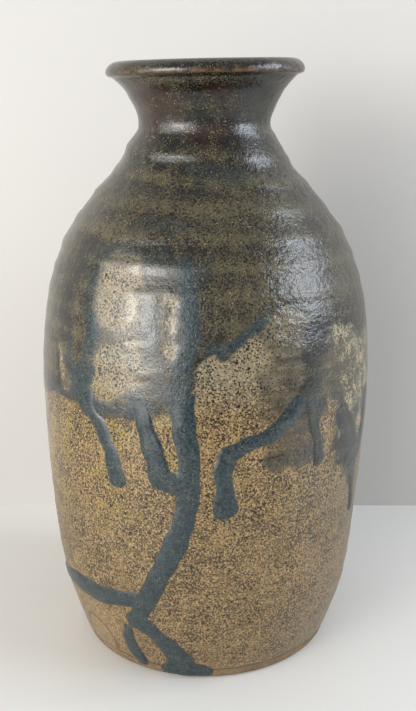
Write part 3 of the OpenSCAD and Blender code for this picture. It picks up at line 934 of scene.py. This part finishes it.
def make_blue_runs():
    """The thick runs: skins domed across their width, with edges sunk into the base coat.

    The dome is 0.7 RUN_T d (1.6 - 0.6 d) at a depth d inside the run. Past the edge it goes on
    down with a slope of 0.35. Towards the top of a run it flattens into the dark coat.
    """
    rows = np.arange(outline.outside(1.2), outline.outside(136), RUN_STEP)
    azimuth, s = np.meshgrid(azimuths(FINE_COLUMNS), rows)
    _, height, _, _ = outline.read(s)
    depth = run_depth(azimuth, height)
    foot = outline.outside(GLAZE_LINE)
    seat = BASE_T * smooth(s, foot, foot + 1.5)
    dome = np.where(depth > 0, 0.7 * RUN_T * depth * (1.6 - 0.6 * depth), 0.35 * depth)
    dome = np.maximum(dome * (1 - 0.75 * smooth(height, 118, 134)), -0.2)
    low = smooth(90 - height, 0, 60)
    grey = smooth(azimuth, 28, 34) * (1 - smooth(azimuth, 74, 82))
    rim = smooth(depth, -0.16, 0.0) * (1 - smooth(depth, 0.1, 0.34))
    fields = {
        "film": smooth(depth, -0.14, 0.36),
        "pool": (0.75 + 0.25 * smooth(depth, 0.1, 0.8)) * (1 - 0.6 * grey),
        "crest": 0.5 + 0.5 * spiral(azimuth, height) - 0.7 * grey,
        "toast": 0.42 * low * rim,
    }
    return poured_piece("blue_runs", rows, FINE_COLUMNS, most_around(depth) > -0.3,
                        seat - 0.03 + dome, seat - 0.3, BLUE, "glaze_runs", fields)


def make_inside_glaze():
    """The liner: one sheet from the flare down to the floor, and its back along the clay."""
    start, stop = outline.inside(LINER_TOP), outline.end - 3
    rows = np.concatenate([even_rows(stop, start, 0, PLAIN_STEP),
                           even_rows(start, stop, LINER_T, LINER_STEP)])
    azimuth, s = np.meshgrid(azimuths(PLAIN_COLUMNS), rows[:, 0])
    return fanned_piece("inside_glaze", place(azimuth, s, rows[:, 1:]), FLOOR, FLOOR + LINER_T,
                        LINER, "liner_glaze")


def mid_wall(height):
    """Radius of the middle of the wall at a height, and a quarter of the wall's width there."""
    outer = outline.read(outline.outside(height))[0]
    inner = outline.read(outline.inside(height))[0]
    return (outer + inner) / 2, (outer - inner) / 4


def make_lower_section():
    """The lower section: its underside with the foot ring, its outside, the tongue, its inside.

    The section is one line of (radius, height) from the axis below to the axis above. The foot
    ring and its recess are read from the CAD wall, and the tongue stands in the middle of the wall.
    """
    recess_heights, recess_radii = wall("lower_body", -1)
    recess = recess_radii[0]
    depth = float(recess_heights[recess_heights < FLOOR - 1].max())
    foot = outline.read(0.0)[0]
    outer_s = np.arange(0, outline.outside(SEAM_LOW), 2.0)
    inner_s = np.arange(outline.inside(SEAM_LOW), outline.end - 3, PLAIN_STEP)
    tongue = ends("lower_body")[1][2]
    middle, half = mid_wall(SEAM_LOW)
    upper, slim = mid_wall(tongue)
    slim = 0.8 * slim
    under = np.array([[recess - 8, depth], [recess - 1, depth], [recess, depth - 0.8],
                      [recess + 0.6, 0.3], [recess + 1.4, 0], [foot - 1.2, 0], [foot - 0.3, 0]])
    joint = np.array([[middle + half, SEAM_LOW], [upper + slim, tongue],
                      [upper - slim, tongue], [middle - half, SEAM_LOW]])
    azimuth = azimuths(PLAIN_COLUMNS)
    turn = np.radians(azimuth)

    def ring(section):
        radius, height = section[:, :1], section[:, 1:]
        return settle(np.stack([radius * np.sin(turn), -radius * np.cos(turn),
                                height + 0 * turn], -1))

    def skin(s):
        return place(*np.meshgrid(azimuth, s), 0.0)

    points = np.concatenate([ring(under), skin(outer_s), ring(joint), skin(inner_s)])
    return fanned_piece("lower_section", points, depth, FLOOR, CLAY, "lower_body")


def make_upper_section():
    """The thrown collar: from the seam up the outside, over the lip and down the inside."""
    rows = even_rows(outline.outside(SEAM_HIGH), outline.inside(SEAM_HIGH), 0, 2.0)
    return turned_piece("upper_section", rows, PLAIN_COLUMNS, CLAY, "collar")


def make_luting_slip():
    """The ring of slip squeezed between the two sections: a flat band across the wall."""
    outer, inner = outline.outside(SEAM), outline.inside(SEAM)
    half = 1.2           # of the band's height along the wall
    rows = np.array([[outer - half, 0], [outer + half, 0], [inner - half, 0], [inner + half, 0]])
    return turned_piece("luting_slip", rows, PLAIN_COLUMNS, SLIP, "seam_slip")


make_oatmeal_coat()
make_dark_coat()
make_blue_runs()
make_inside_glaze()
make_lower_section()
make_upper_section()
make_luting_slip()


# ---------------------------------------------------------------- stage, light and camera

WALL_Y = 0.112           # the backdrop stands this far behind the bottle's axis
FLOOR_FRONT = -0.36      # the floor ends this far in front, under the camera
STAGE_HALF = 1.5         # half the width of the floor and the backdrop
WALL_TOP = 1.4
AIM_Z = 0.13             # the height that the lights face


def sheet(name, corners, material):
    """A flat stage sheet from its four corners."""
    mesh = bpy.data.meshes.new(name)
    mesh.from_pydata(corners, [], [(0, 1, 2, 3)])
    mesh.materials.append(material)
    item = bpy.data.objects.new(name, mesh)
    bpy.context.scene.collection.objects.link(item)
    return item


def area_light(name, azimuth, distance, height, size, watts, colour):
    """A soft rectangular light that faces the bottle's middle."""
    lamp = bpy.data.lights.new(name, "AREA")
    lamp.shape = "RECTANGLE"
    lamp.size, lamp.size_y = size
    lamp.energy = watts
    lamp.color = colour
    item = bpy.data.objects.new(name, lamp)
    turn = math.radians(azimuth)
    item.location = (distance * math.sin(turn), -distance * math.cos(turn), height)
    item.rotation_euler = (math.radians(90) - math.atan2(height - AIM_Z, distance), 0, turn)
    bpy.context.scene.collection.objects.link(item)
    return item


sheet("floor", [(-STAGE_HALF, FLOOR_FRONT, 0), (STAGE_HALF, FLOOR_FRONT, 0),
                (STAGE_HALF, WALL_Y, 0), (-STAGE_HALF, WALL_Y, 0)],
      stage_material("pale floor", (224, 222, 217), 0.4))
sheet("backdrop", [(-STAGE_HALF, WALL_Y, 0), (STAGE_HALF, WALL_Y, 0),
                   (STAGE_HALF, WALL_Y, WALL_TOP), (-STAGE_HALF, WALL_Y, WALL_TOP)],
      stage_material("pale backdrop", (196, 193, 188), 0.6))

area_light("window", azimuth=-47, distance=2.0, height=0.50, size=(2.5, 1.9), watts=47.0,
           colour=(1.0, 0.985, 0.96))
area_light("open sash", azimuth=-44, distance=1.6, height=0.46, size=(0.62, 0.62), watts=11.0,
           colour=(1.0, 0.99, 0.97))
area_light("side window", azimuth=75, distance=1.2, height=0.55, size=(0.70, 0.6), watts=11.0,
           colour=(0.80, 0.88, 1.0))
area_light("skylight", azimuth=104, distance=1.1, height=0.9, size=(0.6, 0.6), watts=10.0,
           colour=(0.80, 0.88, 1.0))

world = bpy.data.worlds.new("room")
world.use_nodes = True
background = world.node_tree.nodes["Background"].inputs
background["Color"].default_value = (0.95, 0.97, 1.0, 1.0)
background["Strength"].default_value = 0.5
bpy.context.scene.world = world
bpy.context.scene.view_settings.view_transform = "Standard"

camera = bpy.data.objects.new("camera", bpy.data.cameras.new("camera"))
camera.data.lens = 47.09
camera.location = (0.00106, -0.394, 0.24075)
camera.rotation_euler = (math.radians(73.71), 0, 0)
bpy.context.scene.collection.objects.link(camera)
bpy.context.scene.camera = camera
